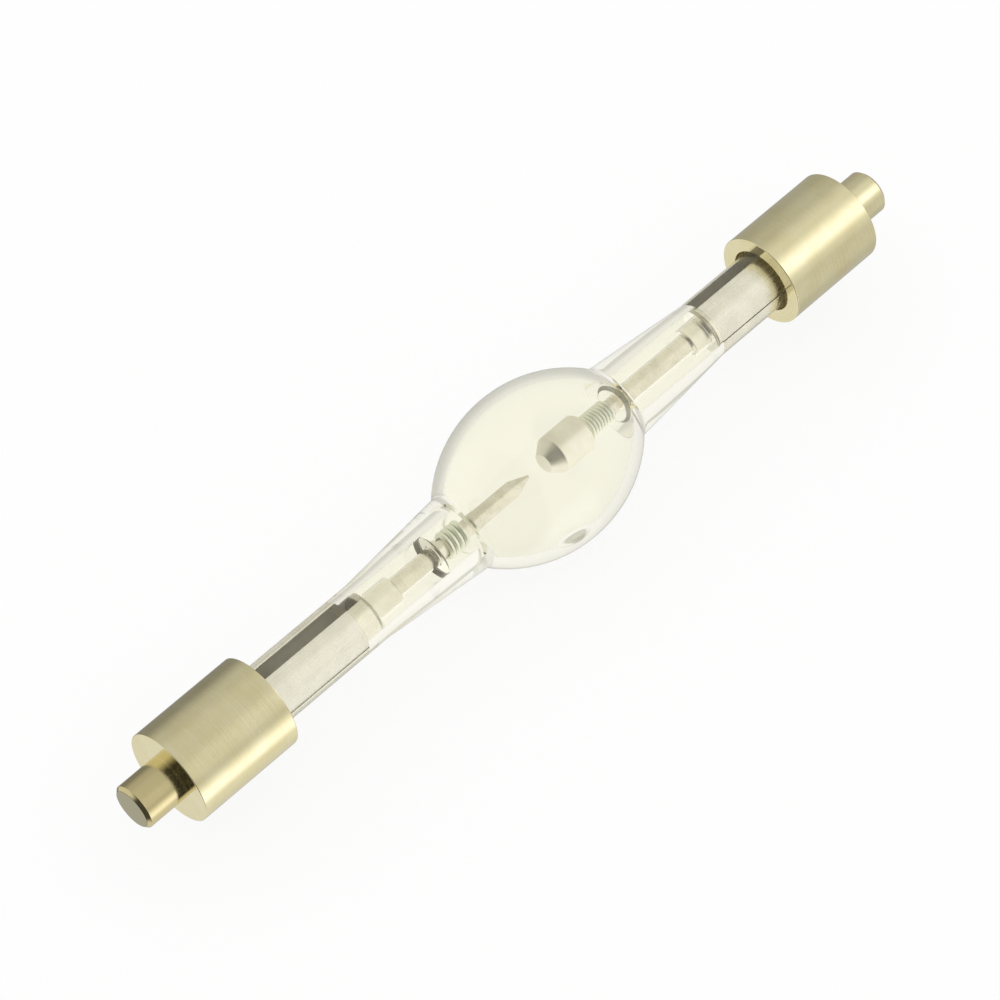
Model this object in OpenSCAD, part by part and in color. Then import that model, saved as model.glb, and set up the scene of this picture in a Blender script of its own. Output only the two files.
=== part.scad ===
// Double-ended short arc discharge lamp with foil seals and pin bases.
// The lamp axis is X, with the cathode end towards -X and the anode end towards +X.
// The origin is the middle of the arc gap. Sizes are in millimetres.
// Every "_at" value is a distance from the origin along the axis, towards its own end.

/* [Electrodes] */
// Free distance between the cathode tip and the anode face
arc_gap = 4.2; // [2:0.1:6]
// Diameter of the two tungsten rods
rod_d = 3.6; // [2.6:0.1:4.2]
// Length of the cathode's conical tip
cathode_cone = 4.2; // [3:0.1:6]
// Diameter of the blunt end of the cathode's tip
cathode_tip_d = 0.6; // [0.3:0.1:1]
// Diameter of the anode head
anode_d = 8.3; // [6.5:0.1:10]
// Length of the anode head
anode_len = 10.8; // [9:0.1:13]
// Diameter of the flat face of the anode head
anode_face_d = 4.3; // [3:0.1:5.5]
// Length of the cone between the anode's face and its full diameter
anode_nose = 2.6; // [1:0.1:3.2]
// Bevel at the back of the anode head
anode_bevel = 0.8; // [0.3:0.1:1.2]
// Depth of the rod's seat in the anode head
anode_seat = 6; // [4:0.5:7]

/* [Rod coils] */
// Wire diameter of the coil on the cathode rod
cathode_wire = 1.1; // [0.7:0.05:1.3]
// Turns of the coil on the cathode rod
cathode_turns = 4; // [3:1:5]
// Distance of the cathode coil from the arc, at its end next to the arc
cathode_coil_at = 20.3; // [18.5:0.1:21]
// Wire diameter of the coil on the anode rod
anode_wire = 0.7; // [0.5:0.05:0.9]
// Turns of the coil on the anode rod
anode_turns = 8; // [6:1:9]
// Space from one turn to the next, as a multiple of the wire diameter
coil_pitch = 1.1; // [1.05:0.01:1.2]

/* [Quartz envelope] */
// Largest outer diameter of the bulb
bulb_d = 34.2; // [31:0.2:38]
// Radius of the bulb's outline along the axis
crown_r = 29; // [26:0.5:34]
// Thickness of the bulb's wall
bulb_wall = 2; // [1.6:0.1:2.6]
// Distance of the bulb's middle from the arc, towards the anode
bulb_shift = 0.7; // [0:0.1:1.5]
// Outer diameter of a neck where it leaves the bulb
shoulder_d = 16.6; // [15.5:0.1:18]
// Radius of the hollow blend between bulb and neck
shoulder_blend = 2.4; // [1.5:0.1:3.5]
// Distance from the bulb's middle at which a neck becomes straight
taper_end = 46; // [40:0.5:50]
// Thickness of the quartz over the foils
seal_wall = 1.7; // [1.3:0.1:2.1]
// Diameter of the sealed exhaust nub on the bulb
nub_d = 3.4; // [2.6:0.1:4.2]
// Height of the exhaust nub over the bulb
nub_h = 0.8; // [0.5:0.1:1.4]
// Distance of the exhaust nub from the arc, towards the cathode
nub_at = 4.5; // [3:0.5:6]

/* [Foil seals] */
// Diameter of the quartz core that the foils lie on
core_d = 8.8; // [8:0.1:9.6]
// Thickness of a foil strip
foil_t = 0.1; // [0.06:0.01:0.16]
// Wide gap between the first and the last foil strip round the core, in degrees
foil_wide_gap = 40; // [20:1:80]
// Narrow gap between any other two neighbouring strips, in degrees
foil_gap = 4; // [2:1:8]
// Turn of the wide gap between the cathode's foils from straight up, towards +Y, in degrees
cathode_foil_turn = 24; // [0:1:60]
// Turn of the wide gap between the anode's foils from straight up, towards +Y, in degrees
anode_foil_turn = 43; // [0:1:60]
// Thickness of the inner discs that the foils are welded to
disc_t = 1.4; // [1:0.1:2.2]
// Thickness of the outer discs
outer_disc_t = 1.5; // [1:0.1:2]
// Diameter of the hub on an inner disc
hub_d = 5.4; // [5:0.1:6]
// Length of the hub at the cathode end
cathode_hub = 7; // [5:0.2:10]
// Length of the hub at the anode end
anode_hub = 4.2; // [2.4:0.2:6]
// Distance of the cathode's inner disc from the arc
cathode_disc_at = 45.8; // [44:0.2:50]
// Distance of the anode's inner disc from the arc
anode_disc_at = 45.6; // [43:0.2:47]
// Distance of the cathode's support sleeve from the arc
cathode_sleeve_at = 28; // [27:0.2:30]
// Distance of the anode's support sleeve from the arc
anode_sleeve_at = 21.2; // [20.6:0.2:24]
// Bevel on the sleeves' ends next to the bulb
sleeve_bevel = 0.7; // [0.4:0.1:1]

/* [Bases] */
// Outer diameter of a base
base_d = 20; // [18:0.5:24]
// Length of a base without its pin
base_len = 23.1; // [21:0.1:28]
// Distance of the cathode base's mouth from the arc
cathode_base_at = 72.9; // [68:0.1:80]
// Distance of the anode base's mouth from the arc
anode_base_at = 63.9; // [61:0.1:72]
// Bevel on a base's outer edges
base_bevel = 0.25; // [0.1:0.05:0.6]
// Depth of the socket that takes the neck
socket_depth = 17.5; // [15:0.5:19]
// Thickness of the cement between neck and base
cement_t = 0.6; // [0.4:0.05:0.9]
// Depth of the open ring before the cement
cement_recess = 2.4; // [1.5:0.1:3.5]
// Diameter of a contact pin
pin_d = 9.5; // [8:0.1:11]
// Length of a contact pin
pin_len = 9.2; // [7.5:0.1:12]
// Bevel on a contact pin's end
pin_bevel = 0.7; // [0.3:0.1:1]
// Diameter of the outer lead rods
lead_d = 3; // [2:0.1:3.6]
// Depth of an outer lead in its contact pin
lead_seat = 4.5; // [3:0.5:6]

/* [Hidden] */

// Clearance all round between pieces that are fitted, cemented or fused together
fit = 0.05;
// Clearance between the end faces of pieces that follow each other along the axis
end_gap = 0.1;
// Space between the neck's end and the floor of the base's socket
neck_end_gap = 1;
// Depth of the outer disc in the end of the neck
outer_disc_recess = 1.5;
foil_count = 3;
round_fn = 96;
// Sections along each arc of the envelope's outline
arc_steps = 14;
// Sections in one turn of a coil, and sides of its wire
turn_steps = 20;
wire_sides = 8;

// Seal, from the core outwards
foil_r = core_d / 2 + fit;
// Part of the core's circumference that one foil strip covers
foil_span = (360 - foil_wide_gap - (foil_count - 1) * foil_gap) / foil_count;
bore_d = core_d + 2 * (foil_t + 2 * fit);
neck_d = bore_d + 2 * seal_wall;
disc_d = core_d;
sleeve_d = bore_d - 2 * fit;
rod_bore_d = rod_d + 2 * fit;

// Base and what it holds
cement_in_d = neck_d + 2 * fit;
cement_out_d = cement_in_d + 2 * cement_t;
socket_d = cement_out_d + 2 * fit;
lead_bore_d = lead_d + 2 * fit;

function neck_end(base_at) = base_at + socket_depth - neck_end_gap;
function outer_disc_at(base_at) = neck_end(base_at) - outer_disc_recess - outer_disc_t;
function core_at(disc_at) = disc_at + disc_t + end_gap;
function core_end(base_at) = outer_disc_at(base_at) - end_gap;
function base_end(base_at) = base_at + base_len;
function coil_len(wire, turns) = (turns * coil_pitch + 1) * wire;

anode_back = arc_gap / 2 + anode_len;
anode_coil_at = anode_back + 3 * end_gap;

// The bulb's outline is one arc about a point below the axis, joined to each neck by a hollow arc
crown_drop = crown_r - bulb_d / 2;
blend_r = shoulder_d / 2 + shoulder_blend;
blend_x = sqrt(pow(crown_r + shoulder_blend, 2) - pow(blend_r + crown_drop, 2));
blend_angle = atan2(blend_x, blend_r + crown_drop);
taper_angle = atan2((shoulder_d - neck_d) / 2, taper_end - blend_x);
// Where the inside of the bulb meets the bore of a neck
throat_x = sqrt(pow(crown_r - bulb_wall, 2) - pow(bore_d / 2 + crown_drop, 2));
throat_angle = atan2(throat_x, bore_d / 2 + crown_drop);

// Points of an arc as [radius, distance], for angles measured from the radial direction
function arc(centre_r, centre_x, r, from, to) =
    [for (i = [0:arc_steps])
        let (a = from + (to - from) * i / arc_steps)
        [centre_r + r * cos(a), centre_x + r * sin(a)]];

function backwards(points) = [for (i = [len(points) - 1:-1:0]) points[i]];
function mirrored(points) = [for (p = backwards(points)) [p[0], -p[1]]];

// Half outlines of the envelope, from the bulb's middle towards one end
function outer_half(end_x) = concat(
    arc(-crown_drop, 0, crown_r, 0, blend_angle),
    backwards(arc(blend_r, blend_x, -shoulder_blend, -taper_angle, blend_angle)),
    [[neck_d / 2, taper_end], [neck_d / 2, end_x]]
);
function inner_half(end_x) = concat(
    arc(-crown_drop, 0, crown_r - bulb_wall, 0, throat_angle),
    [[bore_d / 2, end_x]]
);
function without_first(points) = [for (i = [1:len(points) - 1]) points[i]];
function whole(half_minus, half_plus) = concat(mirrored(half_minus), without_first(half_plus));

// A shape turned about the lamp axis from [radius, distance] points
module turned(points) {
    rotate([0, 90, 0]) rotate_extrude($fn = round_fn) polygon(points);
}

// Puts a shape that is drawn towards +X at the end that it belongs to
module at_end(end) {
    if (end == "cathode") mirror([1, 0, 0]) children();
    else children();
}

module quartz_envelope() {
    cathode_x = neck_end(cathode_base_at) + bulb_shift;
    anode_x = neck_end(anode_base_at) - bulb_shift;
    nub_foot = bulb_d / 2 - bulb_wall / 2;
    color("ghostwhite", 0.4) {
        translate([bulb_shift, 0, 0])
            turned(concat(
                whole(outer_half(cathode_x), outer_half(anode_x)),
                backwards(whole(inner_half(cathode_x), inner_half(anode_x)))
            ));
        translate([-nub_at, 0, 0]) rotate([90, 0, 0])
            rotate_extrude($fn = round_fn)
                polygon([[0, nub_foot], [nub_d / 2, nub_foot], [nub_d / 2, bulb_d / 2 + nub_h / 4],
                         [nub_d / 3, bulb_d / 2 + nub_h * 0.8], [0, bulb_d / 2 + nub_h]]);
    }
}

module base(base_at) {
    face = base_end(base_at);
    tip = face + pin_len;
    color("darkkhaki")
        turned([
            [0, tip], [pin_d / 2 - pin_bevel, tip], [pin_d / 2, tip - pin_bevel],
            [pin_d / 2, face], [base_d / 2 - base_bevel, face],
            [base_d / 2, face - base_bevel], [base_d / 2, base_at + base_bevel],
            [base_d / 2 - base_bevel, base_at], [socket_d / 2, base_at],
            [socket_d / 2, base_at + socket_depth], [lead_bore_d / 2, base_at + socket_depth],
            [lead_bore_d / 2, face + lead_seat + end_gap], [0, face + lead_seat + end_gap]
        ]);
}

module cement(base_at) {
    color("dimgray")
        turned([
            [cement_in_d / 2, base_at + cement_recess], [cement_out_d / 2, base_at + cement_recess],
            [cement_out_d / 2, base_at + socket_depth - end_gap],
            [cement_in_d / 2, base_at + socket_depth - end_gap]
        ]);
}

module outer_lead(base_at) {
    color("gray")
        turned([[0, outer_disc_at(base_at)], [lead_d / 2, outer_disc_at(base_at)],
                [lead_d / 2, base_end(base_at) + lead_seat], [0, base_end(base_at) + lead_seat]]);
}

module outer_disc(base_at) {
    start = outer_disc_at(base_at);
    color("silver")
        turned([[lead_bore_d / 2, start], [disc_d / 2, start],
                [disc_d / 2, start + outer_disc_t], [lead_bore_d / 2, start + outer_disc_t]]);
}

module seal_core(disc_at, base_at) {
    color("lightgray", 0.6)
        turned([[0, core_at(disc_at)], [core_d / 2, core_at(disc_at)],
                [core_d / 2, core_end(base_at)], [0, core_end(base_at)]]);
}

// A strip runs over the rims of both discs, to which it is welded
module foil(disc_at, base_at, turn, number) {
    start = disc_at + disc_t / 2;
    end = outer_disc_at(base_at) + outer_disc_t / 2;
    color("silver")
        rotate([180 - turn + foil_wide_gap / 2 + (number - 1) * (foil_span + foil_gap), 0, 0])
            rotate([0, 90, 0]) rotate_extrude(angle = foil_span, $fn = round_fn)
                polygon([[foil_r, start], [foil_r + foil_t, start],
                         [foil_r + foil_t, end], [foil_r, end]]);
}

module inner_disc(disc_at, hub_len) {
    color("gray")
        turned([
            [rod_bore_d / 2, disc_at - hub_len], [hub_d / 2, disc_at - hub_len],
            [hub_d / 2, disc_at], [disc_d / 2, disc_at],
            [disc_d / 2, disc_at + disc_t], [rod_bore_d / 2, disc_at + disc_t]
        ]);
}

module support_sleeve(sleeve_at, disc_at, hub_len) {
    step = disc_at - hub_len - end_gap;
    color("ghostwhite", 0.5)
        turned([
            [rod_bore_d / 2, sleeve_at], [sleeve_d / 2 - sleeve_bevel, sleeve_at],
            [sleeve_d / 2, sleeve_at + sleeve_bevel], [sleeve_d / 2, disc_at - end_gap],
            [hub_d / 2 + fit, disc_at - end_gap], [hub_d / 2 + fit, step], [rod_bore_d / 2, step]
        ]);
}

module cathode_rod() {
    tip = arc_gap / 2;
    color("dimgray")
        turned([[0, tip], [cathode_tip_d / 2, tip], [rod_d / 2, tip + cathode_cone],
                [rod_d / 2, cathode_disc_at + disc_t], [0, cathode_disc_at + disc_t]]);
}

module anode_rod() {
    start = arc_gap / 2 + anode_len - anode_seat;
    color("dimgray")
        turned([[0, start], [rod_d / 2, start],
                [rod_d / 2, anode_disc_at + disc_t], [0, anode_disc_at + disc_t]]);
}

module anode_head() {
    face = arc_gap / 2;
    seat = anode_back - anode_seat - end_gap;
    color("slategray")
        turned([
            [0, face], [anode_face_d / 2, face], [anode_d / 2, face + anode_nose],
            [anode_d / 2, anode_back - anode_bevel], [anode_d / 2 - anode_bevel, anode_back],
            [rod_bore_d / 2, anode_back], [rod_bore_d / 2, seat], [0, seat]
        ]);
}

// Wire wound on a rod, as rings of points along a helix
module coil(wire, turns, start) {
    mean_r = rod_d / 2 + fit + wire / 2;
    pitch = coil_pitch * wire;
    last = turns * turn_steps;
    points = [
        for (i = [0:last])
            let (turn = i * 360 / turn_steps, x = start + wire / 2 + pitch * i / turn_steps)
            for (j = [0:wire_sides - 1])
                let (a = j * 360 / wire_sides, r = mean_r + wire / 2 * cos(a))
                [x + wire / 2 * sin(a), r * cos(turn), r * sin(turn)]
    ];
    sides = [
        for (i = [0:last - 1])
            for (j = [0:wire_sides - 1])
                let (k = (j + 1) % wire_sides, a = i * wire_sides, b = a + wire_sides)
                [a + j, a + k, b + k, b + j]
    ];
    first_cap = [for (j = [wire_sides - 1:-1:0]) j];
    last_cap = [for (j = [0:wire_sides - 1]) last * wire_sides + j];
    color("darkgray") polyhedron(points, concat([first_cap, last_cap], sides));
}

module end_piece(end, piece) {
    cathode = end == "cathode";
    base_at = cathode ? cathode_base_at : anode_base_at;
    disc_at = cathode ? cathode_disc_at : anode_disc_at;
    sleeve_at = cathode ? cathode_sleeve_at : anode_sleeve_at;
    hub_len = cathode ? cathode_hub : anode_hub;
    foil_turn = cathode ? cathode_foil_turn : anode_foil_turn;
    at_end(end) {
        if (piece == "base") base(base_at);
        if (piece == "cement") cement(base_at);
        if (piece == "outer_lead") outer_lead(base_at);
        if (piece == "outer_disc") outer_disc(base_at);
        if (piece == "seal_core") seal_core(disc_at, base_at);
        for (number = [1:foil_count])
            if (piece == str("foil_", number)) foil(disc_at, base_at, foil_turn, number);
        if (piece == "inner_disc") inner_disc(disc_at, hub_len);
        if (piece == "support_sleeve") support_sleeve(sleeve_at, disc_at, hub_len);
        if (piece == "rod" && cathode) cathode_rod();
        if (piece == "rod" && !cathode) anode_rod();
        if (piece == "coil" && cathode) coil(cathode_wire, cathode_turns, cathode_coil_at);
        if (piece == "coil" && !cathode) coil(anode_wire, anode_turns, anode_coil_at);
    }
}

quartz_envelope();
anode_head();
end_piece("cathode", "base");  // cathode_base
end_piece("cathode", "cement");  // cathode_cement
end_piece("cathode", "outer_lead");  // cathode_outer_lead
end_piece("cathode", "outer_disc");  // cathode_outer_disc
end_piece("cathode", "seal_core");  // cathode_seal_core
end_piece("cathode", "foil_1");  // cathode_foil_1
end_piece("cathode", "foil_2");  // cathode_foil_2
end_piece("cathode", "foil_3");  // cathode_foil_3
end_piece("cathode", "inner_disc");  // cathode_inner_disc
end_piece("cathode", "support_sleeve");  // cathode_support_sleeve
end_piece("cathode", "rod");  // cathode_rod
end_piece("cathode", "coil");  // cathode_coil
end_piece("anode", "base");  // anode_base
end_piece("anode", "cement");  // anode_cement
end_piece("anode", "outer_lead");  // anode_outer_lead
end_piece("anode", "outer_disc");  // anode_outer_disc
end_piece("anode", "seal_core");  // anode_seal_core
end_piece("anode", "foil_1");  // anode_foil_1
end_piece("anode", "foil_2");  // anode_foil_2
end_piece("anode", "foil_3");  // anode_foil_3
end_piece("anode", "inner_disc");  // anode_inner_disc
end_piece("anode", "support_sleeve");  // anode_support_sleeve
end_piece("anode", "rod");  // anode_rod
end_piece("anode", "coil");  // anode_coil
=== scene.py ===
"""Looks of a double-ended short arc discharge lamp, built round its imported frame.

Lengths are in millimetres up to the point where vertices are written. The lamp's axis is X, with the
cathode end towards -X, and a "_at" value is a distance from the arc along the axis.
"""

import math

import bpy
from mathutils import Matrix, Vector


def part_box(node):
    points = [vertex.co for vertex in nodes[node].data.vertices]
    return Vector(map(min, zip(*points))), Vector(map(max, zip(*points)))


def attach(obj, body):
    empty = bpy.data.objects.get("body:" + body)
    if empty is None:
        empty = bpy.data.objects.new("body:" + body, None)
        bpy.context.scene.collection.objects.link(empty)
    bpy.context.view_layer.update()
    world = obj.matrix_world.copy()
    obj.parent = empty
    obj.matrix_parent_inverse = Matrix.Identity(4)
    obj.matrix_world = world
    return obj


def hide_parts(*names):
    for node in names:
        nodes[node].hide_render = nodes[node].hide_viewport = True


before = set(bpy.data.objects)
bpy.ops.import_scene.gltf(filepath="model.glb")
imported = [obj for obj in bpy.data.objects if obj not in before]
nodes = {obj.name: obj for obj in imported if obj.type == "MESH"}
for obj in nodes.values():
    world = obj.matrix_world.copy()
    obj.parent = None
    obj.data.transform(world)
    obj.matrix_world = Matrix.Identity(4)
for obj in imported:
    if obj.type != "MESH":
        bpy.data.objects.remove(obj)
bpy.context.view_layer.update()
scene = bpy.context.scene
MM = 0.001


# Mesh helpers

def rounded(corners):
    """The spans of a turned outline. A corner is (x, radius) or (x, radius, fillet), and material lies to
    the right of the way along it. Returns the points and, for each step to the next, its two normals."""
    closed = corners[0][1] > 0 or corners[-1][1] > 0
    flat = [Vector(c[:2]) for c in corners]
    count = len(flat)
    points, steps = [], []

    def way(i):
        return (flat[(i + 1) % count] - flat[i]).normalized()

    def outward(d):
        return Vector((-d.y, d.x))

    for i, corner in enumerate(corners):
        fillet = corner[2] if len(corner) > 2 else 0
        ends_here = not closed and i in (0, count - 1)
        if fillet and not ends_here:
            before, after = way(i - 1), way(i)
            turn = before.angle_signed(after)
            cut = fillet * abs(math.tan(turn / 2))
            n0, n1 = outward(before), outward(after)
            side = 1 if turn > 0 else -1
            centre = flat[i] - before * cut - n0 * fillet * side
            number = max(2, round(abs(math.degrees(turn)) / 11))
            arc = []
            for k in range(number + 1):
                a = -turn * k / number
                n = Vector((n0.x * math.cos(a) - n0.y * math.sin(a), n0.x * math.sin(a) + n0.y * math.cos(a)))
                arc.append((centre + n * fillet * side, n))
            for k, (p, n) in enumerate(arc):
                points.append(p)
                if k < number:
                    steps.append((n, arc[k + 1][1]))
        else:
            points.append(flat[i])
        if closed or i < count - 1:
            n = outward(way(i))
            steps.append((n, n))
    return points, steps, closed


def lathe(name, corners, sides=144, material=None):
    """A solid turned about X, with its exact normals."""
    points, steps, closed = rounded(corners)
    angles = [2 * math.pi * k / sides for k in range(sides)]
    ring = [(math.cos(a), math.sin(a)) for a in angles]
    verts, first = [], []
    for p in points:
        first.append(len(verts))
        if p.y < 1e-9:
            verts.append((p.x * MM, 0, 0))
        else:
            verts += [(p.x * MM, p.y * c * MM, p.y * s * MM) for c, s in ring]
    faces, normals = [], []
    for i, (n0, n1) in enumerate(steps):
        j = (i + 1) % len(points)
        pole_i, pole_j = points[i].y < 1e-9, points[j].y < 1e-9
        if pole_i and pole_j:
            continue
        for k in range(sides):
            m = (k + 1) % sides
            mid = ((ring[k][0] + ring[m][0]) / 2, (ring[k][1] + ring[m][1]) / 2)
            at_i = [(first[i], n0, mid)] if pole_i else [(first[i] + k, n0, ring[k]), (first[i] + m, n0, ring[m])]
            at_j = [(first[j], n1, mid)] if pole_j else [(first[j] + m, n1, ring[m]), (first[j] + k, n1, ring[k])]
            corners_of = at_i + at_j
            faces.append([c[0] for c in corners_of])
            normals += [(n.x, n.y * r[0], n.y * r[1]) for _, n, r in corners_of]
    return finished(name, verts, faces, material, normals)


def finished(name, verts, faces, material, normals=None):
    mesh = bpy.data.meshes.new(name)
    mesh.from_pydata(verts, [], faces)
    mesh.polygons.foreach_set("use_smooth", [True] * len(faces))
    if normals:
        mesh.normals_split_custom_set(normals)
    mesh.update()
    piece = bpy.data.objects.new(name, mesh)
    scene.collection.objects.link(piece)
    if material:
        mesh.materials.append(material)
    return piece


def stands_for(piece, slot, *names):
    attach(piece, "root")
    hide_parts(*names)
    return piece


# Node helpers

class Tree:
    """Writes a node tree in short lines. An input may be a value or another node's output."""

    def __init__(self, tree):
        self.tree = tree
        tree.nodes.clear()

    def add(self, kind, inputs=None, **settings):
        node = self.tree.nodes.new(kind)
        for key, value in settings.items():
            setattr(node, key, value)
        for key, value in (inputs or {}).items():
            if isinstance(value, bpy.types.NodeSocket):
                self.tree.links.new(value, node.inputs[key])
            else:
                node.inputs[key].default_value = value
        return node

    def math(self, operation, a, b=0.0, c=0.0):
        return self.add("ShaderNodeMath", {0: a, 1: b, 2: c}, operation=operation).outputs[0]

    def vector(self, operation, a, b=(0, 0, 0)):
        second = "Scale" if operation == "SCALE" else 1
        node = self.add("ShaderNodeVectorMath", {0: a, second: b}, operation=operation)
        return node.outputs["Value" if operation in ("DOT_PRODUCT", "LENGTH") else "Vector"]

    def smooth(self, value, low, high, to_low=0.0, to_high=1.0):
        return self.add("ShaderNodeMapRange", {"Value": value, "From Min": low, "From Max": high,
                                               "To Min": to_low, "To Max": to_high},
                        interpolation_type="SMOOTHSTEP").outputs["Result"]

    def mix(self, factor, a, b):
        node = self.add("ShaderNodeMix", {0: factor}, data_type="RGBA")
        for key, value in ((6, a), (7, b)):
            if isinstance(value, bpy.types.NodeSocket):
                self.tree.links.new(value, node.inputs[key])
            else:
                node.inputs[key].default_value = (*value, 1)
        return node.outputs[2]

    def noise(self, vector, scale, detail=3.0, roughness=0.5):
        return self.add("ShaderNodeTexNoise", {"Vector": vector, "Scale": scale, "Detail": detail,
                                               "Roughness": roughness}).outputs["Fac"]

    def stretched(self, vector, scale):
        return self.vector("MULTIPLY", vector, scale)

    def place(self):
        return self.add("ShaderNodeTexCoord").outputs["Object"]


def material(name):
    mat = bpy.data.materials.new(name)
    mat.use_nodes = True
    return mat, Tree(mat.node_tree)


def turned_rings(t, place, pitch):
    """Fine rings left by the tool: one pattern along the axis and outwards on the faces."""
    parts = t.add("ShaderNodeSeparateXYZ", {0: place})
    across = t.vector("LENGTH", t.stretched(place, (0, 1, 1)))
    run = t.math("ADD", parts.outputs["X"], across)
    return t.add("ShaderNodeTexNoise", {"W": t.math("DIVIDE", run, pitch * MM), "Scale": 1.0, "Detail": 2.0},
                 noise_dimensions="1D").outputs["Fac"]


def metal(name, light, dark, shine, lines, mottle=6.0, grain="turned", depth=0.004, metallic=1.0, painted_reflections=()):
    """Bare metal. shine is (least, most) roughness, lines the spacing of its tool marks in mm and mottle
    the size in mm of its slow changes of tone. Each painted reflection is (x, colour): past x towards -X
    the metal is painted that darker colour, a painted dark reflection and not a change of metal."""
    mat, t = material(name)
    place = t.place()
    if grain == "turned":
        marks = turned_rings(t, place, lines)
    else:
        marks = t.noise(t.stretched(place, (0.03, 1, 1)), 1 / (lines * MM), 2.0)
    slow = t.noise(place, 1 / (mottle * MM), 3.0, 0.55)
    fine = t.noise(place, 1 / (mottle * MM / 9), 2.0, 0.6)
    tone = t.math("MULTIPLY_ADD", marks, 0.35, t.math("MULTIPLY", slow, 0.65))
    colour = t.mix(t.smooth(tone, 0.3, 0.68), dark, light)
    # Painted dark reflections: past each x the metal's colour is replaced by the given darker one.
    for x, shade in painted_reflections:
        in_painted_reflection = t.math("LESS_THAN", t.add("ShaderNodeSeparateXYZ", {0: place}).outputs["X"], x * MM)
        colour = t.mix(in_painted_reflection, colour, shade)
    rough = t.math("ADD", t.math("MULTIPLY", marks, 0.6), t.math("MULTIPLY", fine, 0.4))
    bump = t.add("ShaderNodeBump", {"Strength": 1.0, "Distance": depth * MM, "Height": marks})
    shader = t.add("ShaderNodeBsdfPrincipled", {
        "Base Color": colour, "Metallic": metallic,
        "Roughness": t.smooth(rough, 0.3, 0.7, *shine), "Normal": bump.outputs["Normal"]})
    t.add("ShaderNodeOutputMaterial", {"Surface": shader.outputs[0]})
    return mat


def quartz(name, tint, ior, wobble, painted_dark_spot=None):
    """Clear fused quartz with faint draw lines along the axis. Lamps reach what is behind it, and light
    that has been mirrored inside it twice goes straight on, so that none stays caught. A painted dark spot
    is (centre in mm, colour): round that centre the quartz is painted darker, a painted shade at the nub."""
    mat, t = material(name)
    place = t.place()
    draw = t.noise(t.stretched(place, (0.12, 1, 1)), 700.0, 2.0)
    bump = t.add("ShaderNodeBump", {"Strength": 1.0, "Distance": wobble * MM, "Height": draw})
    haze = t.noise(place, 900.0, 2.0)
    colour = (*tint, 1)
    # Painted shade: the quartz's tint turns darker round the given centre at the sealed nub.
    if painted_dark_spot:
        centre, thick = painted_dark_spot
        off = t.vector("SUBTRACT", place, [v * MM for v in centre])
        away = t.vector("LENGTH", t.stretched(off, (0.45, 1, 1)))
        colour = t.mix(t.smooth(away, 1.5 * MM, 0.5 * MM), tint, thick)
    glass = t.add("ShaderNodeBsdfPrincipled", {
        "Base Color": colour, "Transmission Weight": 1.0, "IOR": ior,
        "Roughness": t.smooth(haze, 0.45, 0.8, 0.0, 0.03), "Normal": bump.outputs["Normal"]})
    clear = t.add("ShaderNodeBsdfTransparent", {"Color": (0.97, 0.965, 0.93, 1)})
    path = t.add("ShaderNodeLightPath")
    caught = t.math("MAXIMUM", t.math("GREATER_THAN", path.outputs["Glossy Depth"], 1.5),
                    t.math("GREATER_THAN", path.outputs["Transmission Depth"], 8.5))
    straight = t.math("MAXIMUM", path.outputs["Is Shadow Ray"], caught)
    both = t.add("ShaderNodeMixShader", {0: straight, 1: glass.outputs[0], 2: clear.outputs[0]})
    t.add("ShaderNodeOutputMaterial", {"Surface": both.outputs[0]})
    return mat


def cement_material():
    mat, t = material("base_cement")
    place = t.place()
    coarse = t.noise(place, 1500.0, 4.0, 0.6)
    bump = t.add("ShaderNodeBump", {"Strength": 1.0, "Distance": 0.15 * MM, "Height": coarse})
    shader = t.add("ShaderNodeBsdfPrincipled", {
        "Base Color": t.mix(t.smooth(coarse, 0.35, 0.65), (0.70, 0.65, 0.52), (0.82, 0.77, 0.63)),
        "Roughness": 0.9, "Normal": bump.outputs["Normal"]})
    t.add("ShaderNodeOutputMaterial", {"Surface": shader.outputs[0]})
    return mat


# The two colours past x -96.05 and -105.1 are painted dark reflections on the cathode's base end face and pin.
BRASS = metal("turned_brass", (0.98, 0.91, 0.60), (0.90, 0.81, 0.48), (0.10, 0.2), 0.25, mottle=7.0, depth=0.0012,
              painted_reflections=[(-96.05, (0.78, 0.68, 0.37)), (-105.1, (0.40, 0.37, 0.23))])
TUNGSTEN = metal("ground_tungsten", (0.90, 0.87, 0.80), (0.74, 0.71, 0.63), (0.16, 0.3), 0.12, mottle=3.0)
ANODE = metal("turned_tungsten", (0.95, 0.93, 0.86), (0.82, 0.79, 0.71), (0.3, 0.42), 0.2, mottle=4.0)
COIL = metal("drawn_wire", (0.96, 0.98, 0.90), (0.84, 0.87, 0.77), (0.25, 0.4), 0.15, mottle=2.0)
# Painted light and shade on one metal: the disc's molybdenum is a darkened copy standing in for shade on its rim,
# the hub's a paler copy standing in for light.
SHADED_MOLYBDENUM = metal("molybdenum_painted_shade", (0.66, 0.64, 0.57), (0.42, 0.40, 0.34), (0.2, 0.36), 0.14, mottle=2.5)
LIT_MOLYBDENUM = metal("molybdenum_painted_light", (0.98, 0.96, 0.90), (0.90, 0.88, 0.81), (0.25, 0.4), 0.14, mottle=2.5)
FOIL = metal("rolled_foil", (0.90, 0.88, 0.80), (0.79, 0.77, 0.69), (0.18, 0.3), 0.5, mottle=5.0,
             grain="drawn", depth=0.01)
FOIL_BACK = metal("foil_inner_face", (0.90, 0.87, 0.78), (0.80, 0.77, 0.68), (0.6, 0.8), 0.5, mottle=5.0,
                  grain="drawn", depth=0.01, metallic=0.0)
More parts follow.
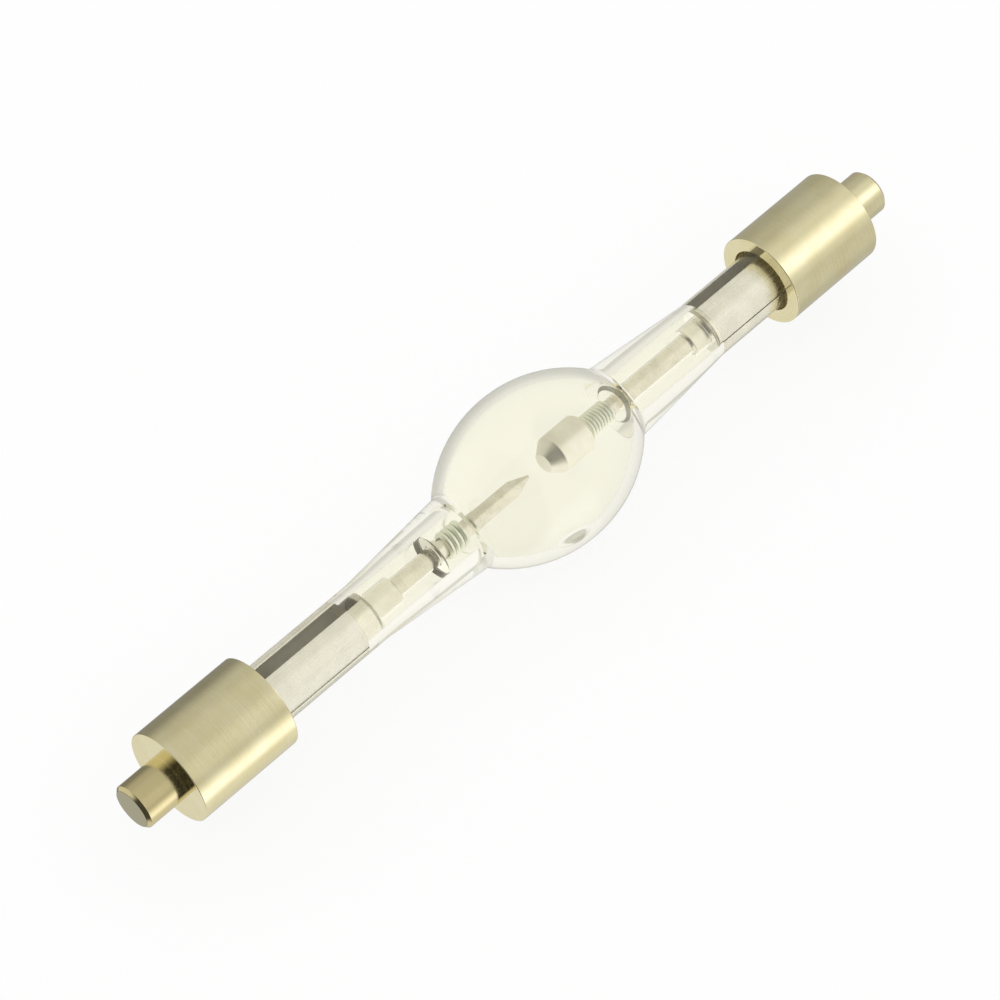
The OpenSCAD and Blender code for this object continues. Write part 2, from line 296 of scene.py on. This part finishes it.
# The darker colour round (-6, -17.5, 0) is painted shade at the sealed nub.
GLASS = quartz("fused_quartz", (0.972, 0.966, 0.88), 1.46, 0.003,
               painted_dark_spot=((-6.0, -17.5, 0.0), (0.32, 0.31, 0.24)))
SLEEVE_GLASS = quartz("sleeve_quartz", (0.995, 0.993, 0.985), 1.12, 0.001)
# Painted dark reflection on the sleeves' end rims: a dark colour in place of the dark marks the glass edge
# mirrors.
SLEEVE_EDGE_PAINTED_DARK = metal("sleeve_edge_painted_dark_reflection", (0.42, 0.40, 0.33), (0.30, 0.29, 0.23), (0.5, 0.7), 0.3, mottle=1.5,
                    metallic=0.3)
CEMENT = cement_material()

# Quartz

FIT, GAP = 0.05, 0.1
BORE_R, NECK_R, CORE_R = 4.6, 6.3, 4.4
CROWN_R, BULB_R, WALL, SHIFT = 29.0, 17.1, 2.0, 0.7
SHOULDER_R, BLEND, TAPER_END = 8.3, 2.4, 46.0
NUB_AT, NUB_R, NUB_H = 6.0, 1.9, 0.8
ENDS = {
    "cathode": {"sign": -1, "base": 72.9, "disc": 45.8, "hub": 7.0, "sleeve": 28.0, "turn": 24.0, "fused": 50.2},
    "anode": {"sign": 1, "base": 63.9, "disc": 45.6, "hub": 4.2, "sleeve": 21.2, "turn": 43.0, "fused": 47.1},
}
DISC_T, OUTER_DISC_T, SOCKET = 1.4, 1.5, 17.5
WIDE_GAP, NARROW_GAP = 40.0, 4.0

drop = CROWN_R - BULB_R
blend_r = SHOULDER_R + BLEND
blend_x = math.sqrt((CROWN_R + BLEND) ** 2 - (blend_r + drop) ** 2)
blend_angle = math.atan2(blend_x, blend_r + drop)
taper_angle = math.atan2(SHOULDER_R - NECK_R, TAPER_END - blend_x)
throat_x = math.sqrt((CROWN_R - WALL) ** 2 - (BORE_R + drop) ** 2)
throat_angle = math.atan2(throat_x, BORE_R + drop)


def half_outer():
    """(x, radius) from the bulb's middle to the straight neck, x measured from the bulb's middle."""
    steps = 34
    crown = [(CROWN_R * math.sin(blend_angle * k / steps), CROWN_R * math.cos(blend_angle * k / steps) - drop)
             for k in range(steps + 1)]
    hollow = [(blend_x - BLEND * math.sin(a), blend_r - BLEND * math.cos(a))
              for a in (blend_angle + (-taper_angle - blend_angle) * k / 14 for k in range(1, 15))]
    taper = [(hollow[-1][0] + (TAPER_END - hollow[-1][0]) * k / 8,
              hollow[-1][1] + (NECK_R - hollow[-1][1]) * k / 8) for k in range(1, 9)]
    return crown + hollow + taper


def half_inner():
    steps = 34
    return [((CROWN_R - WALL) * math.sin(throat_angle * k / steps),
             (CROWN_R - WALL) * math.cos(throat_angle * k / steps) - drop) for k in range(steps + 1)]


def envelope():
    """Bulb, necks and fused seals as one mass of quartz, round a void that ends at the inner discs."""
    cathode, anode = ENDS["cathode"], ENDS["anode"]
    outer = [(-x + SHIFT, r) for x, r in reversed(half_outer())] + [(x + SHIFT, r) for x, r in half_outer()[1:]]
    inner = [(-x + SHIFT, r) for x, r in reversed(half_inner())] + [(x + SHIFT, r) for x, r in half_inner()[1:]]

    def neck_end(end):
        return end["base"] + SOCKET - 1.0

    def closing(end):
        """The open end of a neck, from the axis outwards: core, recess for the outer disc, neck."""
        far = neck_end(end)
        near = far - 1.5 - OUTER_DISC_T - GAP
        return [(near, 0), (near, BORE_R), (far, BORE_R), (far, NECK_R)]

    left = [(-x, r) for x, r in closing(cathode)]
    right = [(x, r) for x, r in reversed(closing(anode))]
    skin = left + outer + right
    void_left, void_right = -cathode["fused"], anode["fused"]
    void = [(void_right, 0), (void_right, BORE_R)] + list(reversed(inner)) + [(void_left, BORE_R), (void_left, 0)]

    uniform = [math.radians(2.5 * k) for k in range(144)]
    fine = [math.radians(180 + 0.5 * k) for k in range(-35, 36) if k % 5]
    angles = sorted(uniform + fine)
    ring = [(math.cos(a), math.sin(a)) for a in angles]
    sides = len(ring)
    verts, faces = [], []

    def nub(x, r, c, s):
        """How far the sealed nub stands over the bulb at a point of its skin."""
        if c > -0.9 or abs(x + NUB_AT) > 2.5 * NUB_R:
            return 0.0
        away = math.hypot(0.62 * (x + NUB_AT), r * s) / NUB_R
        return NUB_H * math.exp(-(away * 1.25) ** 3)

    def turn(outline, raised):
        rows = []
        for x, r in outline:
            if r < 1e-9:
                rows.append([len(verts)])
                verts.append((x * MM, 0, 0))
                continue
            rows.append(list(range(len(verts), len(verts) + sides)))
            for c, s in ring:
                high = r + (nub(x, r, c, s) if raised else 0)
                verts.append((x * MM, high * c * MM, high * s * MM))
        for low, high in zip(rows, rows[1:]):
            for k in range(sides):
                m = (k + 1) % sides
                face = [low[k % len(low)], low[m % len(low)], high[m % len(high)], high[k % len(high)]]
                faces.append(list(dict.fromkeys(face)))

    dense = []
    for (x0, r0), (x1, r1) in zip(skin, skin[1:]):
        near_nub = min(x0, x1) < -NUB_AT + 5 and max(x0, x1) > -NUB_AT - 5
        parts = 5 if near_nub and r0 > 15 else 1
        dense += [(x0 + (x1 - x0) * k / parts, r0 + (r1 - r0) * k / parts) for k in range(parts)]
    dense.append(skin[-1])
    on_crown = []
    for x, r in dense:
        if abs(x - SHIFT) < CROWN_R * math.sin(blend_angle):
            r = math.sqrt(CROWN_R ** 2 - (x - SHIFT) ** 2) - drop
        on_crown.append((x, r))
    turn(on_crown, True)
    turn(void, False)
    piece = finished("quartz_lamp_body", verts, faces, GLASS)
    piece.data.set_sharp_from_angle(angle=math.radians(40))
    return stands_for(piece, "quartz", "quartz_envelope", "cathode_seal_core", "anode_seal_core")


# Metal pieces

BASE_R, BASE_LEN, PIN_R, PIN_LEN, EDGE = 10.0, 23.1, 4.75, 9.2, 0.16
SOCKET_R, LEAD_BORE_R, ROD_R, ROD_BORE_R, HUB_R = 7.0, 1.55, 1.8, 1.85, 2.7


def along(end, corners):
    """Corners given as (distance from the arc, radius, ...) brought to their end of the lamp."""
    if end["sign"] > 0:
        return [tuple(c) for c in corners]
    return [(-c[0], *c[1:]) for c in reversed(corners)]


def base(name, end):
    mouth = end["base"]
    face, tip = mouth + BASE_LEN, mouth + BASE_LEN + PIN_LEN
    corners = [
        (face + 4.6, 0), (face + 4.6, LEAD_BORE_R), (mouth + SOCKET, LEAD_BORE_R), (mouth + SOCKET, SOCKET_R),
        (mouth, SOCKET_R, 0.15), (mouth, BASE_R, EDGE), (face, BASE_R, EDGE), (face, PIN_R),
        (tip - 0.7, PIN_R, 0.2), (tip, PIN_R - 0.7, 0.2), (tip, 0),
    ]
    stands_for(lathe(name + "_turned_base", along(end, corners), 192, BRASS), "brass", name + "_base")


def cement(name, end):
    mouth = end["base"]
    top, low = mouth + 2.4, mouth + SOCKET - GAP
    corners = [(top + 0.15, NECK_R + FIT, 0.1), (top, NECK_R + FIT + 0.3, 0.1),
               (top + 0.25, NECK_R + FIT + 0.6, 0.1), (low, NECK_R + FIT + 0.6), (low, NECK_R + FIT)]
    stands_for(lathe(name + "_base_cement", along(end, corners), 128, CEMENT), "cement", name + "_cement")


def disc(name, end):
    at, hub = end["disc"], end["hub"]
    corners = [
        (at - hub, ROD_BORE_R, 0.1), (at - hub, HUB_R, 0.3), (at, HUB_R, 0.3), (at, CORE_R, 0.25),
        (at + DISC_T, CORE_R, 0.25), (at + DISC_T, ROD_BORE_R, 0.1),
    ]
    piece = lathe(name + "_seal_disc", along(end, corners), 144, SHADED_MOLYBDENUM)
    piece.data.materials.append(LIT_MOLYBDENUM)
    # Hub faces get the paler painted-light copy of the molybdenum, the disc keeps the darkened painted-shade
    # copy.
    for face in piece.data.polygons:
        reach = max(math.hypot(*piece.data.vertices[i].co.yz) for i in face.vertices)
        face.material_index = int(reach < (HUB_R + FIT) * MM)
    stands_for(piece, "molybdenum", name + "_inner_disc")


def sleeve(name, end):
    at, stop = end["sleeve"], end["disc"] - GAP
    step = end["disc"] - end["hub"] - GAP
    outer = BORE_R - FIT
    corners = [
        (at, ROD_BORE_R, 0.3), (at, outer - 0.7, 0.3), (at + 0.7, outer, 0.4), (stop, outer, 0.1),
        (stop, HUB_R + FIT, 0.1), (step, HUB_R + FIT, 0.3), (step, ROD_BORE_R, 0.1),
    ]
    piece = lathe(name + "_glass_sleeve", along(end, corners), 144, SLEEVE_GLASS)
    piece.data.materials.append(SLEEVE_EDGE_PAINTED_DARK)
    # The end rim's faces get the dark colour, a painted dark reflection.
    for face in piece.data.polygons:
        points = [piece.data.vertices[i].co for i in face.vertices]
        at_end = max(abs(p.x) for p in points) < (at + 0.72) * MM
        at_rim = min(math.hypot(p.y, p.z) for p in points) > (outer - 0.78) * MM
        face.material_index = int(at_end and at_rim)
    stands_for(piece, "seal_quartz", name + "_support_sleeve")


def cathode_rod():
    end = ENDS["cathode"]
    corners = [(2.1, 0), (2.1, 0.3, 0.12), (2.1 + 4.2, ROD_R, 0.5), (end["disc"] + DISC_T, ROD_R, 0.1),
               (end["disc"] + DISC_T, 0)]
    stands_for(lathe("cathode_pointed_rod", along(end, corners), 128, TUNGSTEN), "tungsten", "cathode_rod")


def anode_pieces():
    end = ENDS["anode"]
    back, seat = 2.1 + 10.8, 2.1 + 10.8 - 6
    rod = [(seat, 0), (seat, ROD_R), (end["disc"] + DISC_T, ROD_R, 0.1), (end["disc"] + DISC_T, 0)]
    stands_for(lathe("anode_round_rod", rod, 128, TUNGSTEN), "tungsten", "anode_rod")
    head = [(2.1, 0), (2.1, 2.15, 0.35), (4.7, 4.15, 0.5), (back - 0.8, 4.15, 0.4), (back, 4.15 - 0.8, 0.4),
            (back, ROD_BORE_R, 0.1), (seat - GAP, ROD_BORE_R), (seat - GAP, 0)]
    stands_for(lathe("anode_turned_head", head, 160, ANODE), "anode_tungsten", "anode_head")


def coil(name, start, wire, turns, sign):
    """Round wire wound on its rod."""
    mean, pitch, around, sides = ROD_R + FIT + wire / 2, 1.1 * wire, 48, 16
    rows = []
    total = turns * around
    for i in range(total + 1):
        a = 2 * math.pi * i / around
        x = start + wire / 2 + pitch * i / around
        rows.append((x, a))
    verts, faces = [], []
    for x, a in rows:
        for j in range(sides):
            b = 2 * math.pi * j / sides
            r = mean + wire / 2 * math.cos(b)
            verts.append((sign * (x + wire / 2 * math.sin(b)) * MM, r * math.cos(a) * MM, r * math.sin(a) * MM))
    for i in range(total):
        for j in range(sides):
            k = (j + 1) % sides
            quad = [i * sides + j, i * sides + k, (i + 1) * sides + k, (i + 1) * sides + j]
            faces.append(quad if sign > 0 else quad[::-1])
    caps = [list(range(sides))[::-1], [total * sides + j for j in range(sides)]]
    faces += caps if sign > 0 else [c[::-1] for c in caps]
    piece = finished(name + "_wound_wire", verts, faces, COIL)
    piece.data.set_sharp_from_angle(angle=math.radians(50))
    stands_for(piece, "coil_wire", name + "_coil")


def foil(name, end, number):
    """One strip of the seal, on the core from disc to disc, with its long edges rolled thin."""
    r, thick = CORE_R + FIT, 0.1
    span = (360 - WIDE_GAP - 2 * NARROW_GAP) / 3
    start = end["disc"] + DISC_T / 2
    far = end["base"] + SOCKET - 1 - 1.5 - OUTER_DISC_T / 2
    mid = 90 - end["turn"] + WIDE_GAP / 2 + (number - 1) * (span + NARROW_GAP) + span / 2
    across, runs = 40, 60
    verts, faces, inner = [], [], []
    for i in range(runs + 1):
        x = start + (far - start) * i / runs
        for j in range(across + 1):
            a = math.radians(mid + span * (j / across - 0.5))
            edge = min(j, across - j) / 2
            thin = thick * min(1.0, 0.3 + 0.7 * edge)
            for height in (r, r + thin):
                verts.append((end["sign"] * x * MM, height * math.cos(a) * MM, height * math.sin(a) * MM))
    row = 2 * (across + 1)
    for i in range(runs):
        for j in range(across):
            a = i * row + 2 * j
            b, c, d = a + 2, a + row, a + row + 2
            inner.append(len(faces) + 1)
            faces.append([a + 1, b + 1, d + 1, c + 1])
            faces.append([a, c, d, b])
        for a in (i * row, i * row + 2 * across):
            side = [a, a + 1, a + row + 1, a + row]
            faces.append(side if a % row == 0 else side[::-1])
    for i, flip in ((0, False), (runs, True)):
        for j in range(across):
            a = i * row + 2 * j
            cap = [a, a + 2, a + 3, a + 1]
            faces.append(cap[::-1] if flip else cap)
    if end["sign"] < 0:
        faces = [f[::-1] for f in faces]
    piece = finished("%s_foil_strip_%d" % (name, number), verts, faces, FOIL)
    piece.data.materials.append(FOIL_BACK)
    for i in inner:
        piece.data.polygons[i].material_index = 1
    piece.data.set_sharp_from_angle(angle=math.radians(40))
    stands_for(piece, "foil", "%s_foil_%d" % (name, number))


# Stage, light and camera

FRONT = 115.8


def stage():
    floor_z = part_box("quartz_envelope")[0].z - 0.0003
    half = 1.5
    mesh = bpy.data.meshes.new("floor")
    mesh.from_pydata([(-half, -half, floor_z), (half, -half, floor_z), (half, half, floor_z),
                      (-half, half, floor_z)], [], [[0, 1, 2, 3]])
    floor = bpy.data.objects.new("floor", mesh)
    scene.collection.objects.link(floor)
    mat, t = material("floor_white")
    path = t.add("ShaderNodeLightPath")
    plain = t.add("ShaderNodeBsdfDiffuse", {"Color": (0.95, 0.95, 0.945, 1)})
    white = t.add("ShaderNodeEmission", {"Color": (1, 1, 1, 1), "Strength": 1.0})
    share = t.math("MULTIPLY", path.outputs["Is Camera Ray"], 0.85)
    both = t.add("ShaderNodeMixShader", {0: share, 1: plain.outputs[0], 2: white.outputs[0]})
    t.add("ShaderNodeOutputMaterial", {"Surface": both.outputs[0]})
    mesh.materials.append(mat)
    floor.visible_glossy = False
    floor.visible_transmission = False


def studio():
    """White all round, as a light tent, with the darker places that metal and glass pick up. A direction
    is told by x, its part along the lamp, and turn, its angle about the lamp in degrees from the open
    front of the tent. What is mirrored through the quartz is paler, because the tent lights it too."""
    world = bpy.data.worlds.new("studio")
    scene.world = world
    world.use_nodes = True
    t = Tree(world.node_tree)
    way = t.add("ShaderNodeTexCoord").outputs["Generated"]
    front = math.radians(FRONT)
    x = t.vector("DOT_PRODUCT", way, (1, 0, 0))
    ahead = t.vector("DOT_PRODUCT", way, (0, math.cos(front), math.sin(front)))
    aside = t.vector("DOT_PRODUCT", way, (0, -math.sin(front), math.cos(front)))
    turn = t.math("MULTIPLY", t.math("ARCTAN2", aside, ahead), math.degrees(1))

    def levels(start, *changes):
        """A level that changes softly: each change is (from turn, to turn, new level)."""
        total, level = start, start
        for low, high, new in changes:
            total = t.math("ADD", total, t.smooth(turn, low, high, 0.0, new - level))
            level = new
        return total

    near = levels(0.45, (-180, -155, 0.25), (-125, -78, 0.5), (-78, -45, 0.58), (-10, 12, 0.65), (34, 46, 0.58),
                  (50, 86, 1.3), (88, 112, 0.78), (112, 150, 0.68), (152, 180, 0.45))
    far = levels(0.44, (-180, -150, 0.38), (-125, -70, 0.48), (-70, -30, 0.7), (-24, 14, 1.32), (18, 46, 0.7),
                 (46, 62, 0.58), (100, 130, 0.5), (150, 180, 0.44))
    side = t.smooth(x, 0.36, 0.46)
    bare = t.math("ADD", near, t.math("MULTIPLY", side, t.math("SUBTRACT", far, near)))
    bare = t.math("ADD", bare, t.math("MULTIPLY", t.smooth(x, -0.05, -0.25), t.math("SUBTRACT", 0.74, bare)))
    inside = levels(0.76, (-24, 6, 1.12))
    fused = levels(0.68, (-160, -128, 0.87), (-24, 6, 1.0))
    path = t.add("ShaderNodeLightPath")
    crossed = path.outputs["Transmission Depth"]
    in_bulb = t.math("MULTIPLY", t.math("GREATER_THAN", crossed, 3.5), t.math("LESS_THAN", crossed, 7.5))
    in_glass = t.math("SUBTRACT", t.math("GREATER_THAN", crossed, 0.5), in_bulb)
    level = t.math("ADD", bare, t.math("MULTIPLY", in_bulb, t.math("SUBTRACT", inside, bare)))
    level = t.math("ADD", level, t.math("MULTIPLY", in_glass, t.math("SUBTRACT", fused, bare)))
    late, early = t.smooth(turn, 134, 112), t.smooth(turn, 100, 50)
    closing = t.math("ADD", late, t.math("MULTIPLY", in_bulb, t.math("SUBTRACT", early, late)))
    gap = t.math("MULTIPLY", t.smooth(x, -0.12, -0.28), t.math("MULTIPLY", t.smooth(turn, -90, -26), closing))
    once = t.math("LESS_THAN", path.outputs["Glossy Depth"], 1.5)
    dark = t.math("ADD", 0.003, t.math("MULTIPLY", once, 0.06))
    dark = t.math("ADD", dark, t.math("MULTIPLY", in_glass, 0.7))
    dark = t.math("ADD", dark, t.math("MULTIPLY", in_bulb, 0.08))
    level = t.math("ADD", level, t.math("MULTIPLY", gap, t.math("SUBTRACT", dark, level)))
    glare = t.math("MAXIMUM", t.math("SUBTRACT", level, 0.9), 0.0)
    shown = t.vector("ADD", t.vector("SCALE", (1.0, 0.99, 0.95), level), t.vector("SCALE", (0, 0, 0.35), glare))
    mirrored = t.math("MINIMUM", path.outputs["Glossy Depth"], 1.0)
    colour = t.mix(mirrored, (1, 1, 1), shown)
    back = t.add("ShaderNodeBackground", {"Color": colour, "Strength": 1.0})
    t.add("ShaderNodeOutputWorld", {"Surface": back.outputs[0]})


def camera():
    data = bpy.data.cameras.new("camera")
    data.lens, data.sensor_width = 151.2, 36.0
    data.clip_start, data.clip_end = 0.01, 20.0
    eye = bpy.data.objects.new("camera", data)
    scene.collection.objects.link(eye)
    azimuth, elevation = math.radians(-45.6), math.radians(55.3)
    back = Vector((math.sin(azimuth) * math.cos(elevation), -math.cos(azimuth) * math.cos(elevation),
                   math.sin(elevation)))
    eye.location = Vector((-9.77 * MM, 0, 0)) + back * 0.8
    eye.rotation_euler = (-back).to_track_quat("-Z", "Y").to_euler()
    scene.camera = eye


camera()
studio()
stage()
envelope()
for name, end in ENDS.items():
    base(name, end)
    cement(name, end)
    disc(name, end)
    sleeve(name, end)
    for number in (1, 2, 3):
        foil(name, end, number)
    for hidden in ("_outer_disc", "_outer_lead"):
        cad = nodes[name + hidden].data
        cad.materials.clear()
        cad.materials.append(SHADED_MOLYBDENUM)
cathode_rod()
anode_pieces()
coil("cathode", 20.3, 1.1, 4, -1)
coil("anode", 2.1 + 10.8 + 0.3, 0.7, 8, 1)

scene.view_settings.view_transform = "Standard"
